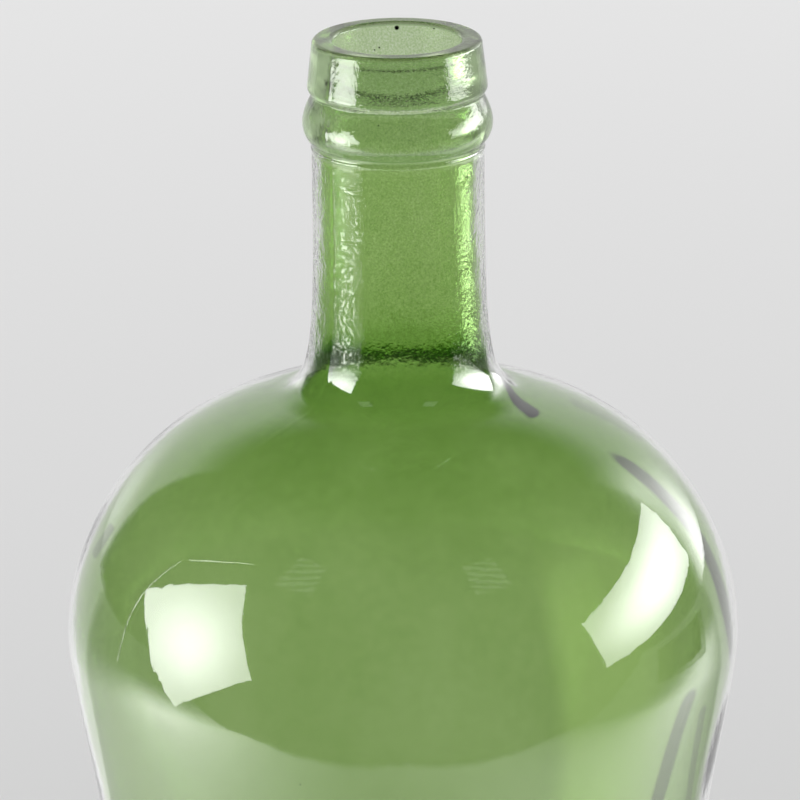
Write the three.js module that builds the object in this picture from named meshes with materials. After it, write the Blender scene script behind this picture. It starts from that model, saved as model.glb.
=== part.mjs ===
// A five-litre glass carboy: one hollow vessel of revolution, moulded in a single piece of glass.
// Units are millimetres. +Z is up, and the origin is the centre of the flat ring it stands on.
// Outlines are drawn as [radius, height] and turned about the Z axis.
import * as THREE from "three";

// Driving dimensions
const HEIGHT = 342; // standing ring to the top of the lip
const BELLY_RADIUS = 101; // the widest place
const NECK_RADIUS = 25.6; // outside of the straight neck
const BORE_RADIUS = 23.3; // inside of the straight neck
const BODY_WALL = 2.2;
const BASE_WALL = 5;
const SEGMENTS_ROUND = 40;

// The base: a flat standing ring round a domed push-up, and a rounded heel
const STAND_OUTER = 68;
const STAND_INNER = 61;
const PUSH_UP = 13.5;
const HEEL_TOP = 25;
const HEEL_RADIUS = 81;
const WALL_THINS = 16; // above the heel the wall thins over this height
const FLOOR_LOW = 7.2; // the lowest place inside, round the push-up

// The body: a taper that widens to the belly, and an elliptical shoulder above it
const TAPER_TOP = 119;
const TAPER_RADIUS = 94.8;
const BELLY = 157.5;
const SHOULDER_RISE = 86; // belly to where the shoulder's ellipse would close on the axis
const SHOULDER_TOP = 206.5; // the ellipse ends here and the shoulder flattens towards the neck

// The neck: a flare that turns up out of the shoulder, then a straight tube
const NECK_FOOT = 232.5;
const NECK_FOOT_RADIUS = 39.5;
const NECK_STRAIGHT = 297; // above this the neck is straight

// The finish: a mould-parting ridge, a collar bead, a groove, and a flared band that ends in the lip
const PARTING_LINE = HEIGHT - 33;
const PARTING_RIDGE = 0.3; // how far it stands out
const PARTING_SPREAD = 1; // how far it reaches above and below
const BEAD_FOOT = HEIGHT - 31;
const BEAD_FOOT_RADIUS = 26;
const BEAD_MIDDLE = HEIGHT - 25.1;
const BEAD_RADIUS = 28.3;
const GROOVE = HEIGHT - 16.8;
const GROOVE_RADIUS = 25.5;
const BAND_FOOT = HEIGHT - 14.1;
const BAND_FOOT_RADIUS = 26.8;
const LIP_RADIUS = 25.3;
const LIP_ROUNDING = 1.4;

// The mouth: a narrow throat under the lip that opens into the bore
const MOUTH_RADIUS = 18.9;
const MOUTH_ROUNDING = 1.6;
const THROAT_FOOT = HEIGHT - 9.3;
const BORE_TOP = HEIGHT - 23;

const v = (radius, height) => new THREE.Vector2(radius, height);

// The underside, from the axis out to the standing ring.
function undersidePath() {
  const path = new THREE.Path();
  path.moveTo(0, PUSH_UP);
  path.bezierCurveTo(25, PUSH_UP, STAND_INNER - 10, 6, STAND_INNER, 0);
  path.lineTo(STAND_OUTER, 0);
  return path;
}

// The outside wall, from the standing ring to the foot of the neck's flare.
function bodyPath() {
  const path = new THREE.Path();
  path.moveTo(STAND_OUTER, 0);
  path.bezierCurveTo(75, 0.6, 79.1, 10.4, HEEL_RADIUS, HEEL_TOP);
  path.bezierCurveTo(85.4, 56, 90.5, 96.3, TAPER_RADIUS, TAPER_TOP);
  path.bezierCurveTo(97, 131, BELLY_RADIUS, BELLY - 7.3, BELLY_RADIUS, BELLY);
  const end = Math.asin((SHOULDER_TOP - BELLY) / SHOULDER_RISE);
  path.absellipse(0, BELLY, BELLY_RADIUS, SHOULDER_RISE, 0, end, false);
  path.bezierCurveTo(72.6, 219.3, 58.6, 227.8, NECK_FOOT_RADIUS, NECK_FOOT);
  return path;
}

// The neck's flare and its straight part, up past the parting ridge.
function neckPath() {
  const path = new THREE.Path();
  path.moveTo(NECK_FOOT_RADIUS, NECK_FOOT);
  path.bezierCurveTo(26.2, 235.8, NECK_RADIUS, 244.9, NECK_RADIUS, NECK_STRAIGHT);
  path.lineTo(NECK_RADIUS, PARTING_LINE - PARTING_SPREAD);
  path.lineTo(NECK_RADIUS + PARTING_RIDGE, PARTING_LINE);
  path.lineTo(NECK_RADIUS, PARTING_LINE + PARTING_SPREAD);
  return path;
}

// The finish, up to the inner edge of the lip's flat top.
function finishPath() {
  const path = new THREE.Path();
  path.moveTo(BEAD_FOOT_RADIUS, BEAD_FOOT);
  path.bezierCurveTo(27.3, BEAD_FOOT + 1.2, BEAD_RADIUS, BEAD_MIDDLE - 2.7, BEAD_RADIUS, BEAD_MIDDLE);
  path.bezierCurveTo(BEAD_RADIUS, BEAD_MIDDLE + 3.5, 26.1, GROOVE - 1.5, GROOVE_RADIUS, GROOVE);
  path.bezierCurveTo(25.8, GROOVE + 0.6, BAND_FOOT_RADIUS, BAND_FOOT - 1.4, BAND_FOOT_RADIUS, BAND_FOOT);
  path.lineTo(LIP_RADIUS, HEIGHT - LIP_ROUNDING);
  path.quadraticCurveTo(LIP_RADIUS, HEIGHT, LIP_RADIUS - LIP_ROUNDING, HEIGHT);
  path.lineTo(MOUTH_RADIUS + MOUTH_ROUNDING, HEIGHT);
  return path;
}

// The mouth and bore, from the lip down to where the neck starts to flare.
function borePath() {
  const path = new THREE.Path();
  path.moveTo(MOUTH_RADIUS + MOUTH_ROUNDING, HEIGHT);
  path.quadraticCurveTo(MOUTH_RADIUS, HEIGHT, MOUTH_RADIUS, HEIGHT - MOUTH_ROUNDING);
  path.lineTo(MOUTH_RADIUS, THROAT_FOOT);
  path.bezierCurveTo(MOUTH_RADIUS, THROAT_FOOT - 5, BORE_RADIUS, BORE_TOP + 7, BORE_RADIUS, BORE_TOP);
  path.lineTo(BORE_RADIUS, NECK_STRAIGHT);
  return path;
}

// The wall's thickness at a height on the outside: thick at the heel, thin in the body.
function wallAt(height) {
  const aboveHeel = THREE.MathUtils.smoothstep(height, 0, HEEL_TOP + WALL_THINS);
  const inNeck = THREE.MathUtils.smoothstep(height, NECK_FOOT, NECK_STRAIGHT);
  const body = THREE.MathUtils.lerp(BASE_WALL, BODY_WALL, aboveHeel);
  return THREE.MathUtils.lerp(body, NECK_RADIUS - BORE_RADIUS, inNeck);
}

// An outside outline moved inwards by the wall's thickness, square to the surface.
function insetOutline(points) {
  return points.map((point, i) => {
    const before = points[Math.max(i - 1, 0)];
    const after = points[Math.min(i + 1, points.length - 1)];
    const along = after.clone().sub(before).normalize();
    return point.clone().add(v(-along.y, along.x).multiplyScalar(wallAt(point.y)));
  });
}

// The inside wall, from the bore down to the heel.
function insideWall() {
  const outside = joinRuns(bodyPath().getPoints(3), neckPath().getPoints(4));
  const walls = outside.filter((point) => point.y >= HEEL_TOP && point.y <= NECK_STRAIGHT);
  return insetOutline(walls).reverse();
}

// The inside of the base: turned in from the wall, then domed over the push-up.
function floorPath(wallFoot) {
  const path = new THREE.Path();
  path.moveTo(wallFoot.x, wallFoot.y);
  path.bezierCurveTo(wallFoot.x - 2.5, 9, STAND_OUTER, 5.8, STAND_INNER - 5, FLOOR_LOW);
  path.bezierCurveTo(STAND_INNER - 19, 12.3, 24, PUSH_UP + BASE_WALL, 0, PUSH_UP + BASE_WALL);
  return path;
}

// Joins runs of points, dropping the point that two runs share.
function joinRuns(...runs) {
  const sharedWithin = 0.05;
  const joined = [];
  for (const point of runs.flat()) {
    const last = joined.at(-1);
    if (!last || last.distanceTo(point) > sharedWithin) joined.push(point);
  }
  return joined;
}

// The whole wall in section, from the axis under the base round to the axis inside it.
function vesselOutline() {
  const inside = insideWall();
  return joinRuns(
    undersidePath().getPoints(3),
    bodyPath().getPoints(4),
    neckPath().getPoints(5),
    finishPath().getPoints(3),
    borePath().getPoints(3),
    inside.slice(1),
    floorPath(inside.at(-1)).getPoints(3),
  );
}

const greenGlass = new THREE.MeshStandardMaterial({
  color: new THREE.Color(0.31, 0.5, 0.15),
  roughness: 0.05,
  metalness: 0,
  transparent: true,
  opacity: 0.45,
});

const vessel = new THREE.Mesh(new THREE.LatheGeometry(vesselOutline(), SEGMENTS_ROUND), greenGlass);
vessel.name = "glass_vessel";
vessel.rotation.x = Math.PI / 2; // LatheGeometry turns about Y, and the part stands along Z

const carboy = new THREE.Group();
carboy.add(vessel);

export default carboy;
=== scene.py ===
"""The looks of a five-litre green glass carboy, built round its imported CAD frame.

The vessel is one closed mesh: an outline turned about Z, with the small unevenness of moulded glass. The
green sits on the inside of the wall, so the inner faces have a material of their own. The outside is clear on
the body and lightly tinted on the collar and lip.
"""

import math

import bpy
from mathutils import Matrix, Vector, noise


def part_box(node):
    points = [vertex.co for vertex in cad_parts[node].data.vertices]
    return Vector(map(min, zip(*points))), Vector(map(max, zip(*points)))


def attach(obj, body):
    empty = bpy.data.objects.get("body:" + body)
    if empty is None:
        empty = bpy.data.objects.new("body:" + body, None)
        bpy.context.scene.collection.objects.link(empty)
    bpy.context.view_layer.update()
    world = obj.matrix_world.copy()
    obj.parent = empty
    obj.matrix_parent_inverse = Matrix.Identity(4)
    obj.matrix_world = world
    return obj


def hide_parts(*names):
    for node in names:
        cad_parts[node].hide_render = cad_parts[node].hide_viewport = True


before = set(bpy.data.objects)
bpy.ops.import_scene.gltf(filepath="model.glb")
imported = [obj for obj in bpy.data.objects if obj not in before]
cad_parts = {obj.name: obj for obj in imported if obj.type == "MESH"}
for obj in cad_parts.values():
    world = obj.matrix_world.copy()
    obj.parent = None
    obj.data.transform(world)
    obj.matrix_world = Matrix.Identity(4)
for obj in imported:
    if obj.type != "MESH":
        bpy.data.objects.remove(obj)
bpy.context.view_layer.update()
low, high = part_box("glass_vessel")

# ---------------------------------------------------------------- sizes, in metres

MM = 0.001
HEIGHT = high.z - low.z
BELLY_RADIUS = (high.x - low.x) / 2
NECK_RADIUS = 25.6 * MM
BORE_RADIUS = 23.3 * MM
MOUTH_RADIUS = 18.9 * MM
BODY_WALL = 1.7 * MM  # where it is thinnest; the CAD holds its mean
BASE_WALL = 5.0 * MM

STAND_OUTER = 68 * MM
STAND_INNER = 61 * MM
PUSH_UP = 13.5 * MM
HEEL_TOP = 25 * MM
HEEL_RADIUS = 81 * MM
WALL_THINS = 16 * MM
FLOOR_LOW = 7.2 * MM

TAPER_TOP = 119 * MM
TAPER_RADIUS = 94.8 * MM
BELLY = 157.5 * MM
SHOULDER_RISE = 86 * MM
SHOULDER_TOP = 206.5 * MM

NECK_FOOT = 232.5 * MM
NECK_FOOT_RADIUS = 39.5 * MM
NECK_STRAIGHT = 297 * MM

PARTING_LINE = HEIGHT - 33 * MM
PARTING_RIDGE = 0.35 * MM
PARTING_SPREAD = 0.8 * MM
BEAD_FOOT = HEIGHT - 31 * MM
BEAD_FOOT_RADIUS = 26 * MM
BEAD_MIDDLE = HEIGHT - 25.1 * MM
BEAD_RADIUS = 28.3 * MM
GROOVE = HEIGHT - 16.8 * MM
GROOVE_RADIUS = 25.5 * MM
BAND_FOOT = HEIGHT - 14.1 * MM
BAND_FOOT_RADIUS = 26.8 * MM
LIP_RADIUS = 25.3 * MM
LIP_ROUNDING = 1.4 * MM

MOUTH_ROUNDING = 1.6 * MM
THROAT_FOOT = HEIGHT - 9.3 * MM
BORE_TOP = HEIGHT - 23 * MM

SEGMENTS_ROUND = 288
SEAM_AZIMUTH = -49  # degrees; the second mould seam is opposite

# ---------------------------------------------------------------- the outline


def bezier(start, first, second, end, step):
    """Points along a cubic curve, about step apart, without its start."""
    a, b, c, d = (Vector(p) for p in (start, first, second, end))
    count = max(2, math.ceil(((b - a).length + (c - b).length + (d - c).length) / step))
    points = []
    for i in range(1, count + 1):
        t = i / count
        u = 1 - t
        points.append(a * u**3 + b * (3 * u * u * t) + c * (3 * u * t * t) + d * t**3)
    return points


def line(start, end, step):
    """Points along a straight line, about step apart, without its start."""
    a, b = Vector(start), Vector(end)
    count = max(1, math.ceil((b - a).length / step))
    return [a.lerp(b, i / count) for i in range(1, count + 1)]


def shoulder_arc(step):
    """The elliptical shoulder, from the belly up to where it flattens, without its start."""
    end = math.asin((SHOULDER_TOP - BELLY) / SHOULDER_RISE)
    count = math.ceil(BELLY_RADIUS * end / step)
    angles = [end * i / count for i in range(1, count + 1)]
    return [Vector((BELLY_RADIUS * math.cos(a), BELLY + SHOULDER_RISE * math.sin(a))) for a in angles]


def body_wall(step):
    """The outside wall from the standing ring to the foot of the neck's flare."""
    points = [Vector((STAND_OUTER, 0))]
    heel = (HEEL_RADIUS, HEEL_TOP)
    taper = (TAPER_RADIUS, TAPER_TOP)
    points += bezier(points[-1], (75 * MM, 0.6 * MM), (79.1 * MM, 10.4 * MM), heel, step / 2)
    points += bezier(heel, (85.4 * MM, 56 * MM), (90.5 * MM, 96.3 * MM), taper, step)
    belly = (BELLY_RADIUS, BELLY)
    points += bezier(taper, (97 * MM, 131 * MM), (BELLY_RADIUS, BELLY - 7.3 * MM), belly, step)
    points += shoulder_arc(step)
    neck_foot = (NECK_FOOT_RADIUS, NECK_FOOT)
    points += bezier(points[-1], (72.6 * MM, 219.3 * MM), (58.6 * MM, 227.8 * MM), neck_foot, step)
    return points


def neck_wall(step):
    """The neck's flare and its straight part, up to the finish."""
    foot = (NECK_FOOT_RADIUS, NECK_FOOT)
    straight = (NECK_RADIUS, NECK_STRAIGHT)
    points = [Vector(foot)]
    points += bezier(foot, (26.2 * MM, 235.8 * MM), (NECK_RADIUS, 244.9 * MM), straight, step)
    points += line(straight, (NECK_RADIUS, PARTING_LINE - PARTING_SPREAD), step)
    return points


def finish_wall(step):
    """The parting ridge, collar bead, groove and flared band, up to the lip's flat top."""
    ridge = (NECK_RADIUS + PARTING_RIDGE, PARTING_LINE)
    foot = (BEAD_FOOT_RADIUS, BEAD_FOOT)
    middle = (BEAD_RADIUS, BEAD_MIDDLE)
    groove = (GROOVE_RADIUS, GROOVE)
    band = (BAND_FOOT_RADIUS, BAND_FOOT)
    lip = (LIP_RADIUS, HEIGHT - LIP_ROUNDING)
    lip_top = (LIP_RADIUS - LIP_ROUNDING, HEIGHT)
    points = [Vector((NECK_RADIUS, PARTING_LINE - PARTING_SPREAD))]
    points += line(points[-1], ridge, step)
    points += line(ridge, (NECK_RADIUS, PARTING_LINE + PARTING_SPREAD), step)
    points += line(points[-1], foot, step)
    below, above = (BEAD_RADIUS, BEAD_MIDDLE - 2.7 * MM), (BEAD_RADIUS, BEAD_MIDDLE + 3.5 * MM)
    points += bezier(foot, (27.3 * MM, BEAD_FOOT + 1.2 * MM), below, middle, step)
    points += bezier(middle, above, (26.1 * MM, GROOVE - 1.5 * MM), groove, step)
    flare = (26.8 * MM, BAND_FOOT - 1.4 * MM)
    points += bezier(groove, (25.8 * MM, GROOVE + 0.6 * MM), flare, band, step / 2)
    points += line(band, lip, step)
    points += bezier(lip, (LIP_RADIUS, HEIGHT - 0.6 * MM), (LIP_RADIUS - 0.8 * MM, HEIGHT), lip_top, step / 2)
    return points


def mouth_wall(step):
    """The lip's flat top, its rounded inner edge and the throat, down to the bore."""
    lip_inner = (MOUTH_RADIUS + MOUTH_ROUNDING, HEIGHT)
    throat_top = (MOUTH_RADIUS, HEIGHT - MOUTH_ROUNDING)
    throat_foot = (MOUTH_RADIUS, THROAT_FOOT)
    bore_top = (BORE_RADIUS, BORE_TOP)
    points = line((LIP_RADIUS - LIP_ROUNDING, HEIGHT), lip_inner, step)
    over, down = (MOUTH_RADIUS + 0.7 * MM, HEIGHT), (MOUTH_RADIUS, HEIGHT - 0.7 * MM)
    points += bezier(lip_inner, over, down, throat_top, step / 2)
    points += line(throat_top, throat_foot, step)
    leave, arrive = (MOUTH_RADIUS, THROAT_FOOT - 5 * MM), (BORE_RADIUS, BORE_TOP + 7 * MM)
    points += bezier(throat_foot, leave, arrive, bore_top, step)
    points += line(bore_top, (BORE_RADIUS, NECK_STRAIGHT), step)
    return points


def smoothstep(value, start, end):
    t = min(max((value - start) / (end - start), 0), 1)
    return t * t * (3 - 2 * t)


def wall_at(height):
    """The wall's thickness at a height on the outside."""
    body = BASE_WALL + (BODY_WALL - BASE_WALL) * smoothstep(height, 0, HEEL_TOP + WALL_THINS)
    neck = NECK_RADIUS - BORE_RADIUS
    return body + (neck - body) * smoothstep(height, NECK_FOOT, NECK_STRAIGHT)


def inside_wall(outside):
    """The outside wall moved inwards by the wall's thickness, from the neck down to the heel."""
    points = []
    for i, point in enumerate(outside):
        if not HEEL_TOP <= point.y < NECK_STRAIGHT:
            continue
        along = (outside[min(i + 1, len(outside) - 1)] - outside[max(i - 1, 0)]).normalized()
        points.append(point + Vector((-along.y, along.x)) * wall_at(point.y))
    return points[::-1]


def floor_wall(start, step):
    """The inside of the base: turned in from the wall, then domed over the push-up."""
    low_point = (STAND_INNER - 5 * MM, FLOOR_LOW)
    top = (0, PUSH_UP + BASE_WALL)
    points = bezier(start, (start.x - 2.5 * MM, 9 * MM), (STAND_OUTER, 5.8 * MM), low_point, step)
    points += bezier(low_point, (STAND_INNER - 19 * MM, 12.3 * MM), (24 * MM, top[1]), top, step * 2)
    return points


def underside(step):
    """The push-up, from just off the axis out to the standing ring."""
    points = bezier((0, PUSH_UP), (25 * MM, PUSH_UP), (STAND_INNER - 10 * MM, 6 * MM), (STAND_INNER, 0), step)
    return [Vector((0, PUSH_UP))] + points


def vessel_outline():
    """The section as (radius, height) points, and the index where the green inner face starts."""
    outside = body_wall(2.6 * MM) + neck_wall(2.0 * MM)[1:]
    outer = underside(4 * MM) + outside + finish_wall(0.45 * MM)[1:] + mouth_wall(0.6 * MM)
    bore_step = 1.0 * MM
    inner = inside_wall(body_wall(2.6 * MM) + neck_wall(bore_step)[1:])
    inner += floor_wall(inner[-1], 4 * MM)
    in_mouth = MOUTH_RADIUS + 0.1 * MM
    upper = range(len(outer) // 2 + 1, len(outer))
    green_from = next(i for i in upper if outer[i].x <= in_mouth and outer[i].y < HEIGHT)
    return outer + inner, green_from


# ---------------------------------------------------------------- the vessel


def direction(azimuth, elevation=0.0):
    """A unit vector; azimuth 0 is towards -Y, where the camera is, and 90 is towards +X."""
    a, e = math.radians(azimuth), math.radians(elevation)
    return Vector((math.sin(a) * math.cos(e), -math.cos(a) * math.cos(e), math.sin(e)))


def relief(place, size, depth):
    """Smooth unevenness: bumps about size across and up to depth high."""
    return depth * noise.noise(place / size)


def outer_relief(place, azimuth):
    """How far the outside stands off its outline: slow waves, and the two mould seams."""
    waves = relief(place, 45 * MM, 0.10 * MM)
    in_finish = smoothstep(place.z, PARTING_LINE - 4 * MM, BEAD_FOOT)
    fine = relief(place, 5 * MM, 0.05 * MM) * in_finish
    turn = math.remainder(math.radians(azimuth - SEAM_AZIMUTH), math.pi)
    off_seam = abs(turn) * math.hypot(place.x, place.y)
    seam = 0.12 * MM * math.exp(-((off_seam / (0.5 * MM)) ** 2)) * (place.z > HEEL_TOP)
    return waves + fine + seam


def inner_relief(place):
    """How far the inside stands off its outline: a rippled neck and a calmer body."""
    in_neck = smoothstep(place.z, NECK_FOOT - 12 * MM, NECK_FOOT + 14 * MM)
    ripples = relief(place, 4.5 * MM, 0.07 * MM) + relief(place, 11 * MM, 0.10 * MM)
    waves = relief(place, 32 * MM, 0.16 * MM)
    return ripples * in_neck + waves


def turned_mesh(name, outline, green_from):
    """A closed surface of revolution whose faces from row green_from on use the second material."""
    vertices = []
    rows = []
    for i, point in enumerate(outline):
        if point.x < 1e-6:
            rows.append([len(vertices)])
            vertices.append((0, 0, point.y))
            continue
        row = []
        for j in range(SEGMENTS_ROUND):
            azimuth = 360 * j / SEGMENTS_ROUND
            place = direction(azimuth) * point.x + Vector((0, 0, point.y))
            calm = smoothstep(point.y, HEEL_TOP / 2, HEEL_TOP * 2)
            calm *= smoothstep(HEIGHT - point.y, 0.3 * MM, 2 * MM)
            push = (inner_relief(place) if i >= green_from else outer_relief(place, azimuth)) * calm
            place += direction(azimuth) * push
            row.append(len(vertices))
            vertices.append(place)
        rows.append(row)
    faces = []
    green = []
    for i in range(len(rows) - 1):
        below, above = rows[i], rows[i + 1]
        for j in range(SEGMENTS_ROUND):
            k = (j + 1) % SEGMENTS_ROUND
            if len(below) == 1:
                faces.append((below[0], above[k], above[j]))
            elif len(above) == 1:
                faces.append((below[j], below[k], above[0]))
            else:
                faces.append((below[j], below[k], above[k], above[j]))
            green.append(1 if i >= green_from else 0)
    mesh = bpy.data.meshes.new(name)
    mesh.from_pydata(vertices, [], faces)
    mesh.polygons.foreach_set("material_index", green)
    mesh.polygons.foreach_set("use_smooth", [True] * len(faces))
    mesh.update()
    return mesh


# ---------------------------------------------------------------- materials

GLASS_IOR = 1.5
WHITE, BLACK = (1.0, 1.0, 1.0), (0.0, 0.0, 0.0)

# pairs of heights between which something fades in or, the other way up, fades out
NECK_GRAIN = 236 * MM, 252 * MM
DULL_FOOT, DULL_TOP = (242 * MM, 248 * MM), (309 * MM, 306 * MM)
POLISHED_FOOT, POLISHED_TOP = (235.5 * MM, 237.5 * MM), (246 * MM, 241 * MM)
FINISH = 307 * MM, 311 * MM
THIN_TOP = 212 * MM, 180 * MM

BROAD_GRAIN, TIGHT_GRAIN = 330, 800  # how many bumps to the metre, on the body and in the neck
DULLNESS = 0.92  # how much of its mirroring the dull skin has lost
GLITTER = 1000, 0.555, 0.6, 0.7  # bright pits in that skin: how many to the metre, their edge, how bright

FINISH_TINT = (0.42, 0.56, 0.31)
LIP_TINT = (0.20, 0.24, 0.13)
GREEN_DEEP, GREEN_PALE = (0.255, 0.435, 0.112), (0.34, 0.525, 0.172)
GREEN_THIN = (0.52, 0.82, 0.22)
GREEN_DEPTH = (
    # height in mm, and how much glass the green stands for there
    (0, 1),
    (185, 1),
    (205, 1.12),
    (220, 1.42),
    (231, 1.68),
    (239, 1.85),
    (246, 1.6),
    (256, 1.2),
    (284, 1.06),
    (305, 1.06),
    (312, 0.38),
    (342, 0.38),
)


class Nodes:
    """A short way to add and join shader nodes."""

    def __init__(self, tree):
        self.tree = tree
        tree.nodes.clear()

    def add(self, kind, **values):
        node = self.tree.nodes.new(kind)
        for key, value in values.items():
            setattr(node, key, value)
        return node

    def join(self, source, target):
        self.tree.links.new(source, target)

    def math(self, operation, a, b):
        node = self.add("ShaderNodeMath", operation=operation)
        for socket, value in zip(node.inputs, (a, b)):
            if isinstance(value, (int, float)):
                socket.default_value = value
            else:
                self.join(value, socket)
        return node.outputs[0]

    def rise(self, value, start, end):
        """0 up to start, 1 from end, and smooth between them. It falls if end is below start."""
        ramp = self.add("ShaderNodeMapRange", interpolation_type="SMOOTHSTEP")
        ramp.inputs["From Min"].default_value = start
        ramp.inputs["From Max"].default_value = end
        self.join(value, ramp.inputs["Value"])
        return ramp.outputs[0]

    def hump(self, value, middle, reach):
        """1 where value is at the middle, fading away on both sides of it."""
        off = self.math("DIVIDE", self.math("SUBTRACT", value, middle), reach)
        return self.math("EXPONENT", self.math("MULTIPLY", self.math("MULTIPLY", off, off), -1.0), 0)

    def mix(self, amount, first, second):
        """Two colours mixed; each is an RGB triple or the output of another node."""
        node = self.add("ShaderNodeMixRGB")
        for socket, value in zip(node.inputs, (amount, first, second)):
            if isinstance(value, (int, float)):
                socket.default_value = value
            elif isinstance(value, tuple):
                socket.default_value = (*value, 1)
            else:
                self.join(value, socket)
        return node.outputs[0]

    def axes(self):
        """The x, y and z of the place being shaded, in the vessel's frame."""
        split = self.add("ShaderNodeSeparateXYZ")
        self.join(self.add("ShaderNodeTexCoord").outputs["Object"], split.inputs[0])
        return split.outputs["X"], split.outputs["Y"], split.outputs["Z"]

    def noise(self, scale, detail=2.0, stretch=(1, 1, 1)):
        place = self.add("ShaderNodeTexCoord").outputs["Object"]
        mapping = self.add("ShaderNodeMapping")
        mapping.inputs["Scale"].default_value = stretch
        self.join(place, mapping.inputs["Vector"])
        texture = self.add("ShaderNodeTexNoise")
        texture.inputs["Scale"].default_value = scale
        texture.inputs["Detail"].default_value = detail
        self.join(mapping.outputs[0], texture.inputs["Vector"])
        return texture.outputs["Fac"]


def glass_shader(nodes):
    shader = nodes.add("ShaderNodeBsdfPrincipled")
    shader.inputs["IOR"].default_value = GLASS_IOR
    shader.inputs["Transmission Weight"].default_value = 1.0
    shader.inputs["Roughness"].default_value = 0.0
    return shader


def in_neck(nodes, z):
    """1 on the straight neck, where the mould has left the skin dull and pitted, and 0 elsewhere."""
    return nodes.math("MULTIPLY", nodes.rise(z, *DULL_FOOT), nodes.rise(z, *DULL_TOP))


def by_side(nodes, from_air, from_glass):
    """One colour for faces seen from the air and another for faces seen from within the glass."""
    return nodes.mix(nodes.add("ShaderNodeNewGeometry").outputs["Backfacing"], from_air, from_glass)


def orange_peel(nodes, z, body, neck, ridges=0.0):
    """Fine unevenness, broad on the body and tight in the neck and finish, and any mould ridges.

    Body and neck are how deep it is in each.
    """
    up_neck = nodes.rise(z, *NECK_GRAIN)
    broad = nodes.math("MULTIPLY", nodes.noise(BROAD_GRAIN, 2.0), body / neck)
    on_body = nodes.math("MULTIPLY", broad, nodes.math("SUBTRACT", 1.0, up_neck))
    height = nodes.math("ADD", nodes.math("MULTIPLY", nodes.noise(TIGHT_GRAIN, 3.0), up_neck), on_body)
    bump = nodes.add("ShaderNodeBump")
    bump.inputs["Strength"].default_value = 1.0
    bump.inputs["Distance"].default_value = neck
    nodes.join(nodes.math("ADD", height, ridges), bump.inputs["Height"])
    return bump.outputs[0]


def line_on_path(nodes, along, across, path, width, strength):
    """A crisp line in the glass through (along, across) points, fading out at its ends."""
    start, end = path[0][0], path[-1][0]
    low = min(point[1] for point in path)
    spread = max(point[1] for point in path) - low
    share = nodes.math("DIVIDE", nodes.math("SUBTRACT", along, start), end - start)
    curve = nodes.add("ShaderNodeFloatCurve")
    points = curve.mapping.curves[0].points
    while len(points) < len(path):
        points.new(0, 0)
    for point, (where, height) in zip(points, path):
        point.location = ((where - start) / (end - start), (height - low) / spread)
    curve.mapping.update()
    nodes.join(share, curve.inputs["Value"])
    middle = nodes.math("ADD", nodes.math("MULTIPLY", curve.outputs[0], spread), low)
    ends = nodes.math("MULTIPLY", nodes.rise(share, 0.0, 0.1), nodes.rise(share, 1.0, 0.9))
    line = nodes.math("MULTIPLY", nodes.hump(across, middle, width), ends)
    return nodes.math("MULTIPLY", nodes.rise(line, 0.15, 0.6), strength)


def on_arc(path, radius):
    """(height mm, azimuth) points as (height, distance round a cylinder of that radius), in metres."""
    return [(height * MM, math.radians(turn) * radius * MM) for height, turn in path]


def round_vessel(nodes, x, y):
    """The azimuth in radians, 0 towards the front."""
    return nodes.math("ARCTAN2", x, nodes.math("MULTIPLY", y, -1.0))


def clear_glass():
    """The outside: colourless on the body, dull and glittering on the neck, pale green on the finish."""
    material = bpy.data.materials.new("clear_glass_outside")
    material.use_nodes = True
    nodes = Nodes(material.node_tree)
    shader = glass_shader(nodes)
    x, y, z = nodes.axes()
    tint = nodes.mix(nodes.rise(z, *FINISH), WHITE, FINISH_TINT)
    on_lip = nodes.rise(z, HEIGHT - 1.0 * MM, HEIGHT - 0.4 * MM)
    nodes.join(nodes.mix(on_lip, tint, LIP_TINT), shader.inputs["Base Color"])
    pits, edge, full, bright = GLITTER
    glitter = nodes.math("MULTIPLY", nodes.rise(nodes.noise(pits, 2.0), edge, full), bright)
    from_within = nodes.add("ShaderNodeNewGeometry").outputs["Backfacing"]
    dull = nodes.math("MULTIPLY", in_neck(nodes, z), nodes.math("SUBTRACT", 1.0, glitter))
    dull = nodes.math("MULTIPLY", dull, nodes.math("SUBTRACT", 1.0, from_within))
    nodes.join(by_side(nodes, WHITE, (0.3, 0.3, 0.3)), shader.inputs["Specular Tint"])
    # where the neck turns out of the shoulder the skin is fire-polished and mirrors twice as much
    polished = nodes.math("MULTIPLY", nodes.rise(z, *POLISHED_FOOT), nodes.rise(z, *POLISHED_TOP))
    nodes.join(polished, shader.inputs["Coat Weight"])
    azimuth = round_vessel(nodes, x, y)
    round_up = nodes.math("MULTIPLY", azimuth, RIDGE_RADIUS * MM)
    up = line_on_path(nodes, z, round_up, on_arc(RIDGE_UP, RIDGE_RADIUS), 0.3 * MM, 0.45)
    over = [(math.radians(turn), height * MM) for height, turn in RIDGE_OVER]
    ridges = nodes.math("MAXIMUM", up, line_on_path(nodes, azimuth, z, over, 0.3 * MM, 0.35))
    normal = orange_peel(nodes, z, 0.02 * MM, 0.09 * MM, ridges)
    nodes.join(normal, shader.inputs["Normal"])
    # the dull skin lets light through but hardly mirrors it
    skin = nodes.add("ShaderNodeBsdfRefraction")
    skin.inputs["IOR"].default_value = GLASS_IOR
    skin.inputs["Roughness"].default_value = 0.0
    nodes.join(normal, skin.inputs["Normal"])
    mix = nodes.add("ShaderNodeMixShader")
    nodes.join(nodes.math("MULTIPLY", dull, DULLNESS), mix.inputs[0])
    nodes.join(shader.outputs[0], mix.inputs[1])
    nodes.join(skin.outputs[0], mix.inputs[2])
    out = nodes.add("ShaderNodeOutputMaterial")
    nodes.join(mix.outputs[0], out.inputs["Surface"])
    return material


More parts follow.
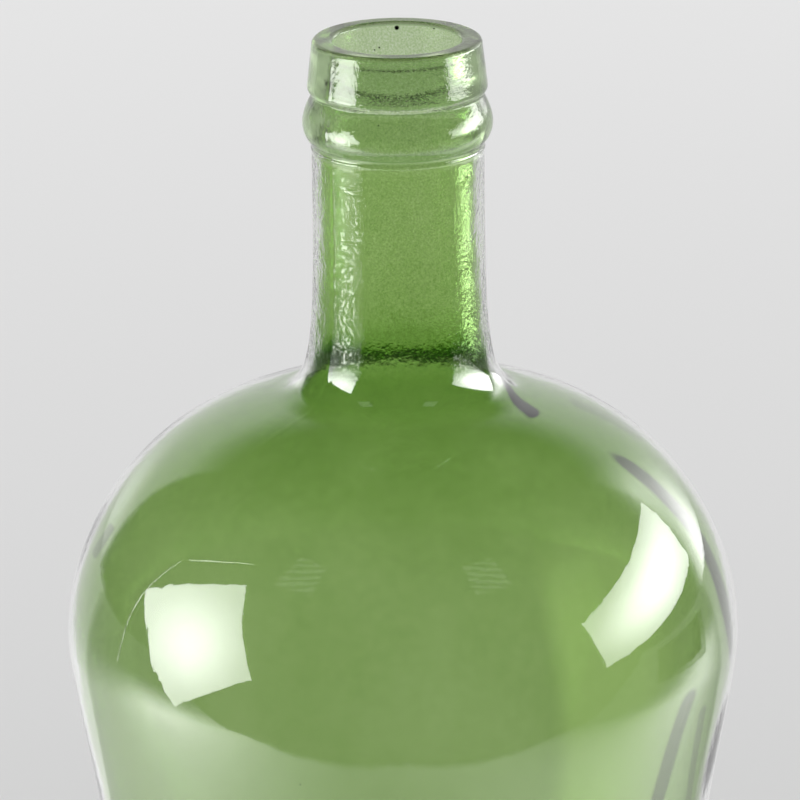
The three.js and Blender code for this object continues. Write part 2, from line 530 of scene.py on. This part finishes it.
def green_depth(nodes, z):
    """How much glass the green stands for: 1 in the body, and more over the top of the shoulder and the
    neck's flare.

    A dark ring is painted in the neck's flare, darker where the wall is seen at a slant: painted shade for
    the dark surroundings seen through it.
    """
    depth = nodes.add("ShaderNodeFloatCurve")
    points = depth.mapping.curves[0].points
    while len(points) < len(GREEN_DEPTH):
        points.new(0, 0)
    for point, (height, amount) in zip(points, GREEN_DEPTH):
        point.location = (height * MM / HEIGHT, amount / 2)
    depth.mapping.update()
    nodes.join(nodes.math("DIVIDE", z, HEIGHT), depth.inputs["Value"])
    facing = nodes.add("ShaderNodeLayerWeight").outputs["Facing"]
    # painted shade: a dark ring in the flare, strongest where the wall is seen at a slant
    ring = nodes.math("MULTIPLY", nodes.hump(z, 237 * MM, 5.8 * MM), nodes.rise(facing, 0.25, 0.5))
    mottle = nodes.math("MULTIPLY", nodes.math("SUBTRACT", nodes.noise(1900), 0.5), 1.5)
    mottle = nodes.math("MULTIPLY", mottle, nodes.rise(z, *NECK_GRAIN))
    amount = nodes.math("ADD", nodes.math("MULTIPLY", depth.outputs[0], 2.0), mottle)
    return nodes.math("ADD", amount, nodes.math("MULTIPLY", ring, 5.6))


PAINTED_SHADE_STREAKS = (
    # painted shade: dark streaks where the wall bends dark surroundings into view; (height mm, azimuth)
    # points from the bottom up; radius mm; width mm; strength
    (((229.0, 64), (230.2, 67), (232.4, 74.8), (234.4, 82), (238.5, 89)), 40, 4.0, 1.0),
    (((147, 82), (170, 76.3), (191, 75.9), (206, 72.7), (215, 70.3), (222.5, 67.6)), 85, 4.5, 0.97),
    (((215, 94), (222, 92.3), (228, 92.6)), 62, 5.0, 0.5),
    (((110, 50), (124, 52.1), (145, 55), (158, 59)), 98, 4.0, 0.85),
    (((106, 64.5), (117, 64.2), (139, 63.2), (150, 64)), 98, 2.5, 0.6),
    (((187, -79), (192, -78), (198, -77)), 92, 3.5, 0.7),
)
RIDGE_RADIUS = 95
RIDGE_UP = ((165, -57.5), (169, -57.2), (184.7, -55.3), (195, -51), (201.5, -45.5))
RIDGE_OVER = ((200.5, -47), (202.5, -38), (203.6, -30), (203.9, -18))
THIN_WALL = 25, 31, 43, 58  # azimuths round which the body's wall is thinner and paler
SPECKS = (
    # dark specks: x, y, z and radius, in mm
    (0.0, 19.0, 340.2, 1.0),
    (11.0, 15.4, 340.9, 0.5),
    (-5.3, 18.2, 334.4, 0.4),
    (-6.7, 17.7, 333.8, 0.35),
)
# painted shade: broken dark rings on the front of the finish
FINISH_SHADE_RINGS = ((329.3, 1.3, 0.52), (337.0, 0.5, 0.45))  # height and reach in mm, and how broken


def dark_marks_and_shade(nodes, x, y, z):
    """Where the glass is dark: painted shade in streaks and in broken rings on the front of the finish, and
    specks near the lip, and seeds.
    """
    azimuth = round_vessel(nodes, x, y)
    marks = 0.0
    # painted shade: dark streaks where the wall bends dark surroundings into view
    for path, radius, width, strength in PAINTED_SHADE_STREAKS:
        across = nodes.math("MULTIPLY", azimuth, radius * MM)
        streak = line_on_path(nodes, z, across, on_arc(path, radius), width * MM, strength)
        marks = nodes.math("MAXIMUM", streak, marks)
    place = nodes.add("ShaderNodeTexCoord").outputs["Object"]
    for *middle, radius in SPECKS:
        away = nodes.add("ShaderNodeVectorMath", operation="DISTANCE")
        nodes.join(place, away.inputs[0])
        away.inputs[1].default_value = [value * MM for value in middle]
        speck = nodes.rise(away.outputs["Value"], radius * MM, radius * 0.5 * MM)
        marks = nodes.math("MAXIMUM", speck, marks)
    seeds = nodes.add("ShaderNodeTexVoronoi")
    seeds.inputs["Scale"].default_value = 75
    nodes.join(place, seeds.inputs["Vector"])
    marks = nodes.math("MAXIMUM", nodes.rise(seeds.outputs["Distance"], 0.028, 0.012), marks)
    # painted shade, on the front only: broken dark rings in the finish
    grain = nodes.noise(2200, 1.0, (1, 1, 2.5))
    in_front = nodes.rise(y, 0.0, -14 * MM)
    for height, reach, least in FINISH_SHADE_RINGS:
        broken = nodes.rise(grain, least, least + 0.06)
        ring = nodes.math("MULTIPLY", nodes.hump(z, height * MM, reach * MM), broken)
        marks = nodes.math("MAXIMUM", nodes.math("MULTIPLY", ring, in_front), marks)
    return marks


def green_glass():
    """The inside: leaf green and slightly mottled, with dark marks and painted shade, and paler where the
    wall is thin.
    """
    material = bpy.data.materials.new("green_glass_inside")
    material.use_nodes = True
    nodes = Nodes(material.node_tree)
    shader = glass_shader(nodes)
    x, y, z = nodes.axes()
    fine = nodes.math("MULTIPLY", nodes.noise(260, 3.0), 0.35)
    patches = nodes.math("ADD", nodes.noise(28, 5.0, (1, 1, 0.6)), fine)
    tint = nodes.mix(nodes.rise(patches, 0.35, 1.0), GREEN_DEEP, GREEN_PALE)
    azimuth = round_vessel(nodes, x, y)
    start, full, fading, end = (math.radians(turn) for turn in THIN_WALL)
    thin = nodes.math("MULTIPLY", nodes.rise(azimuth, start, full), nodes.rise(azimuth, end, fading))
    thin = nodes.math("MULTIPLY", thin, nodes.rise(z, *THIN_TOP))
    tint = nodes.mix(nodes.math("MULTIPLY", thin, 0.85), tint, GREEN_THIN)
    deep = nodes.add("ShaderNodeGamma")
    nodes.join(tint, deep.inputs["Color"])
    nodes.join(green_depth(nodes, z), deep.inputs["Gamma"])
    # painted shade: the dark streaks and finish rings darken the green here, as do the specks and seeds
    marked = nodes.mix(dark_marks_and_shade(nodes, x, y, z), deep.outputs[0], BLACK)
    nodes.join(marked, shader.inputs["Base Color"])
    # seen from within the glass, the inside mirrors faintly, and more on the neck's right
    right_of_neck = nodes.math("MULTIPLY", nodes.rise(z, 238 * MM, 250 * MM), nodes.rise(x, -5 * MM, 5 * MM))
    from_glass = nodes.mix(right_of_neck, (0.10, 0.15, 0.06), (0.31, 0.50, 0.15))
    nodes.join(by_side(nodes, (0.08, 0.08, 0.08), from_glass), shader.inputs["Specular Tint"])
    nodes.join(orange_peel(nodes, z, 0.006 * MM, 0.08 * MM), shader.inputs["Normal"])
    out = nodes.add("ShaderNodeOutputMaterial")
    nodes.join(shader.outputs[0], out.inputs["Surface"])
    return material


# ---------------------------------------------------------------- the studio

TABLE_EDGE = -0.318  # in front of this the studio floor is dark in the glass
TABLE_CURVE = 0.22, 0.045  # the edge comes nearer to both sides, by this share of x and by this much at most
PALE = 0.74
TABLE_PALE = 0.30  # the table where no backdrop lights it
DARK = 0.02
# the white backdrop fades in between these angles: round from straight behind, azimuth on the left, elevation
BACKDROP_SIDE = math.radians(52), math.radians(48)
BACKDROP_LEFT = math.radians(-138), math.radians(-141)
BACKDROP_TOP = math.radians(42), math.radians(24)
# painted shade: the floor's colour is darker near the vessel
FLOOR_NEAR_SHADED, FLOOR_FAR = 0.67, 0.79  # how pale the floor is near the vessel and far from it
SOFTBOX_AIM = 180 * MM
WINDOWS = (
    # azimuth, elevation, how wide and how tall, in degrees; strength
    (141, 0, 8, 14, 3.2),
    (133, 22, 8, 9, 1.6),
    (-149, 4, 9, 7, 0.5),
)
BLINDS = ((-48.9, 47.4), (41, 48.8))  # two small slatted windows high in the room: azimuth and elevation
SLAT = math.radians(2.7)  # from one slat to the next
SLAT_TURN = 0.33  # how far the slats climb as they come nearer to straight in front
BLIND_REACH = math.radians(9), math.radians(6.5)
STUDIO_TONE = (0.78, 0.78, 0.79)  # the world behind the vessel, seen past the floor
POOLS = (
    # middle; reach in x and y; lean; strength
    ((-0.44, -0.12), (0.24, 0.16), -0.35, 5.6),
    ((-0.44, 0.08), (0.26, 0.24), 0.0, 0.8),
    ((0.45, 0.12), (0.33, 0.17), 1.0, 2.3),
    ((0.05, -0.26), (0.25, 0.25), 0.0, 0.3),
)


def seen_in_glass(nodes):
    """1 for light that has bounced off glass on its way to the camera, else 0."""
    path = nodes.add("ShaderNodeLightPath")
    return nodes.math("GREATER_THAN", path.outputs["Glossy Depth"], 0.5)


def pool_of_light(nodes, x, y, middle, reach, lean, strength):
    """The light that a softbox throws on the table: an oval round a place, skewed by lean."""
    off_x = nodes.math("SUBTRACT", x, middle[0])
    skew = nodes.math("MULTIPLY", off_x, lean)
    off_y = nodes.math("SUBTRACT", nodes.math("SUBTRACT", y, middle[1]), skew)
    oval = nodes.math("MULTIPLY", nodes.hump(off_x, 0.0, reach[0]), nodes.hump(off_y, 0.0, reach[1]))
    return nodes.math("MULTIPLY", oval, strength)


def studio_floor():
    """A pale floor, painted darker near the vessel as shade. In the glass it is a table that glows with
    painted light from the softboxes, with a dark room in front of it.
    """
    mesh = bpy.data.meshes.new("studio_floor")
    reach = 9.0
    corners = [(-reach, -reach), (reach, -reach), (reach, reach), (-reach, reach)]
    mesh.from_pydata([(x, y, -0.2 * MM) for x, y in corners], [], [(0, 1, 2, 3)])
    floor = bpy.data.objects.new("studio_floor", mesh)
    bpy.context.scene.collection.objects.link(floor)
    material = bpy.data.materials.new("studio_floor")
    material.use_nodes = True
    nodes = Nodes(material.node_tree)
    position = nodes.add("ShaderNodeNewGeometry").outputs["Position"]

    out_from_vessel = nodes.add("ShaderNodeVectorMath", operation="LENGTH")
    nodes.join(position, out_from_vessel.inputs[0])
    # painted shade: the floor's colour darkens towards the vessel
    tone = nodes.add("ShaderNodeMapRange")
    tone.inputs["From Min"].default_value = 0.25
    tone.inputs["From Max"].default_value = 1.4
    tone.inputs["To Min"].default_value = FLOOR_NEAR_SHADED
    tone.inputs["To Max"].default_value = FLOOR_FAR
    nodes.join(out_from_vessel.outputs["Value"], tone.inputs["Value"])
    pale = nodes.add("ShaderNodeBsdfDiffuse")
    nodes.join(tone.outputs[0], pale.inputs["Color"])

    place = nodes.add("ShaderNodeSeparateXYZ")
    nodes.join(position, place.inputs[0])
    x, y = place.outputs["X"], place.outputs["Y"]
    round_back = nodes.math("ARCTAN2", nodes.math("ABSOLUTE", x, 0), y)
    by_backdrop = nodes.rise(round_back, *BACKDROP_SIDE)
    lit = nodes.math("ADD", nodes.math("MULTIPLY", by_backdrop, PALE - TABLE_PALE), TABLE_PALE)
    for middle, reach, lean, strength in POOLS:
        lit = nodes.math("ADD", pool_of_light(nodes, x, y, middle, reach, lean, strength), lit)
    slope, most = TABLE_CURVE
    nearer = nodes.math("MINIMUM", nodes.math("MULTIPLY", nodes.math("ABSOLUTE", x, 0), slope), most)
    on_table = nodes.rise(nodes.math("SUBTRACT", y, nearer), TABLE_EDGE - 0.012, TABLE_EDGE + 0.012)
    # painted light: in the glass the table glows with its pools and backdrop light, and is dark past its edge
    table = nodes.add("ShaderNodeEmission")
    nodes.join(nodes.math("MAXIMUM", nodes.math("MULTIPLY", lit, on_table), DARK), table.inputs["Strength"])

    mix = nodes.add("ShaderNodeMixShader")
    nodes.join(seen_in_glass(nodes), mix.inputs[0])
    nodes.join(pale.outputs[0], mix.inputs[1])
    nodes.join(table.outputs[0], mix.inputs[2])
    out = nodes.add("ShaderNodeOutputMaterial")
    nodes.join(mix.outputs[0], out.inputs["Surface"])
    mesh.materials.append(material)


def studio_world():
    """Pale all round, but in the glass a dark room with a white backdrop behind the vessel."""
    world = bpy.data.worlds.new("studio")
    bpy.context.scene.world = world
    world.use_nodes = True
    nodes = Nodes(world.node_tree)
    toward = nodes.add("ShaderNodeSeparateXYZ")
    nodes.join(nodes.add("ShaderNodeTexCoord").outputs["Generated"], toward.inputs[0])
    # how far round from straight behind, and how high
    round_back = nodes.math("ARCTAN2", nodes.math("ABSOLUTE", toward.outputs["X"], 0), toward.outputs["Y"])
    height = nodes.math("ARCSINE", toward.outputs["Z"], 0)
    side = nodes.rise(round_back, *BACKDROP_SIDE)
    top = nodes.rise(height, *BACKDROP_TOP)
    azimuth = round_vessel(nodes, toward.outputs["X"], toward.outputs["Y"])
    # the backdrop ends sooner on the left
    kept = nodes.math("ADD", nodes.rise(azimuth, *BACKDROP_LEFT), nodes.rise(azimuth, 0, 0.1))
    side = nodes.math("MULTIPLY", side, nodes.math("MINIMUM", kept, 1.0))
    room = nodes.math("ADD", nodes.math("MULTIPLY", nodes.math("MULTIPLY", side, top), PALE), DARK)
    for turn, rise, wide, tall, strength in WINDOWS:
        glow = nodes.math("MULTIPLY", nodes.hump(azimuth, math.radians(turn), math.radians(wide)), strength)
        high_up = nodes.hump(height, math.radians(rise), math.radians(tall))
        room = nodes.math("ADD", nodes.math("MULTIPLY", glow, high_up), room)
    across = nodes.math("ADD", height, nodes.math("MULTIPLY", nodes.math("ABSOLUTE", azimuth, 0), SLAT_TURN))
    slats = nodes.math("SINE", nodes.math("MULTIPLY", across, 2 * math.pi / SLAT), 0)
    slats = nodes.math("ADD", nodes.math("MULTIPLY", slats, 0.35), 0.5)
    for turn, rise in BLINDS:
        wide = nodes.rise(nodes.hump(azimuth, math.radians(turn), BLIND_REACH[0]), 0.3, 0.5)
        tall = nodes.rise(nodes.hump(height, math.radians(rise), BLIND_REACH[1]), 0.3, 0.5)
        room = nodes.math("ADD", nodes.math("MULTIPLY", nodes.math("MULTIPLY", wide, tall), slats), room)
    seen = nodes.mix(seen_in_glass(nodes), STUDIO_TONE, room)
    lights_floor = nodes.add("ShaderNodeLightPath").outputs["Is Diffuse Ray"]
    background = nodes.add("ShaderNodeBackground")
    nodes.join(nodes.mix(lights_floor, seen, WHITE), background.inputs["Color"])
    out = nodes.add("ShaderNodeOutputWorld")
    nodes.join(background.outputs[0], out.inputs["Surface"])


def softbox(name, place, size, angles, glows, inside=1.0, far=0.0, colour=(1, 1, 1)):
    """A lit panel beside the vessel. It shows only where glass reflects it.

    Place is its azimuth, elevation and distance, size its width and height, and angles how far it is turned,
    tipped and rolled from facing the vessel. Glows are its strengths in the middle and at the edge.
    Reflections from inside the wall show it at the share given by inside. With far it shows in those alone,
    and only from more than that distance away.
    """
    azimuth, elevation, distance = place
    width, tall = size
    mesh = bpy.data.meshes.new(name)
    corners = [(-1, -1), (1, -1), (1, 1), (-1, 1)]
    mesh.from_pydata([(x * width / 2, y * tall / 2, 0) for x, y in corners], [], [(0, 1, 2, 3)])
    box = bpy.data.objects.new(name, mesh)
    bpy.context.scene.collection.objects.link(box)
    away = direction(azimuth, elevation)
    aim = away.to_track_quat("Z", "Y").to_matrix().to_4x4()
    for angle, axis in zip(angles, "YXZ"):
        aim = aim @ Matrix.Rotation(math.radians(angle), 4, axis)
    box.matrix_world = Matrix.Translation(Vector((0, 0, SOFTBOX_AIM)) + away * distance) @ aim
    box.visible_camera = False
    box.visible_diffuse = False

    material = bpy.data.materials.new(name)
    material.use_nodes = True
    nodes = Nodes(material.node_tree)
    on_panel = nodes.add("ShaderNodeMapping")
    on_panel.inputs["Scale"].default_value = (2 / width, 2 / tall, 1)
    nodes.join(nodes.add("ShaderNodeTexCoord").outputs["Object"], on_panel.inputs["Vector"])
    out_from_middle = nodes.add("ShaderNodeVectorMath", operation="LENGTH")
    nodes.join(on_panel.outputs[0], out_from_middle.inputs[0])
    glow = nodes.add("ShaderNodeMapRange", interpolation_type="SMOOTHSTEP")
    glow.inputs["From Max"].default_value = 1.3
    glow.inputs["To Min"].default_value, glow.inputs["To Max"].default_value = glows
    nodes.join(out_from_middle.outputs["Value"], glow.inputs["Value"])
    path = nodes.add("ShaderNodeLightPath")
    through = path.outputs["Is Transmission Ray"]
    if far:
        shown = nodes.math("MULTIPLY", nodes.math("MULTIPLY", through, seen_in_glass(nodes)), inside)
        shown = nodes.math("MULTIPLY", shown, nodes.math("GREATER_THAN", path.outputs["Ray Length"], far))
    else:
        share = nodes.math("MULTIPLY", seen_in_glass(nodes), inside)
        lost = nodes.math("MULTIPLY", through, nodes.math("SUBTRACT", 1.0, share))
        shown = nodes.math("SUBTRACT", 1.0, lost)
    emission = nodes.add("ShaderNodeEmission")
    emission.inputs["Color"].default_value = (*colour, 1)
    nodes.join(nodes.math("MULTIPLY", glow.outputs[0], shown), emission.inputs["Strength"])
    out = nodes.add("ShaderNodeOutputMaterial")
    nodes.join(emission.outputs[0], out.inputs["Surface"])
    mesh.materials.append(material)


CAMERA_DISTANCE = 23.16 * BELLY_RADIUS
CAMERA_RISE, CAMERA_TILT = 17.07, -0.6  # degrees
LENS = 351.8


def studio_camera():
    """A long lens a little above the vessel, looking down at its neck and shoulder."""
    look_at = Vector((-0.2 * MM, 0, HEIGHT - 111.8 * MM))
    data = bpy.data.cameras.new("camera")
    data.sensor_width = 36
    data.lens = LENS
    data.clip_start = 0.1
    data.clip_end = 50
    camera = bpy.data.objects.new("camera", data)
    bpy.context.scene.collection.objects.link(camera)
    away = direction(0, CAMERA_RISE)
    camera.location = look_at + away * CAMERA_DISTANCE
    aim = away.to_track_quat("Z", "Y").to_matrix().to_4x4()
    tilt = Matrix.Rotation(math.radians(CAMERA_TILT), 4, "Z")
    camera.matrix_world = Matrix.Translation(camera.location) @ aim @ tilt
    bpy.context.scene.camera = camera


# ---------------------------------------------------------------- make it all

studio_camera()

outline, green_from = vessel_outline()
vessel = bpy.data.objects.new("carboy_glass", turned_mesh("carboy_glass", outline, green_from))
bpy.context.scene.collection.objects.link(vessel)
vessel.data.materials.append(clear_glass())
vessel.data.materials.append(green_glass())
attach(vessel, "root")
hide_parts("glass_vessel")

studio_floor()
studio_world()
softbox("softbox_left", (-68.5, 6.5, 0.40), (0.272, 0.263), (-13.1, -13.0, 31.2), (18, 9), inside=0.3)
softbox("softbox_right", (96.3, 13.4, 0.9), (0.99, 0.336), (-4.1, -2.8, 6.8), (16, 6), inside=0.3)
softbox("card_right", (104, -8.8, 0.75), (0.36, 0.14), (0, 0, 0), (18, 6), far=0.72, colour=(0.74, 1.0, 0.52))

scene = bpy.context.scene
scene.view_settings.view_transform = "Standard"
scene.cycles.max_bounces = 24
scene.cycles.transmission_bounces = 24
scene.cycles.glossy_bounces = 12
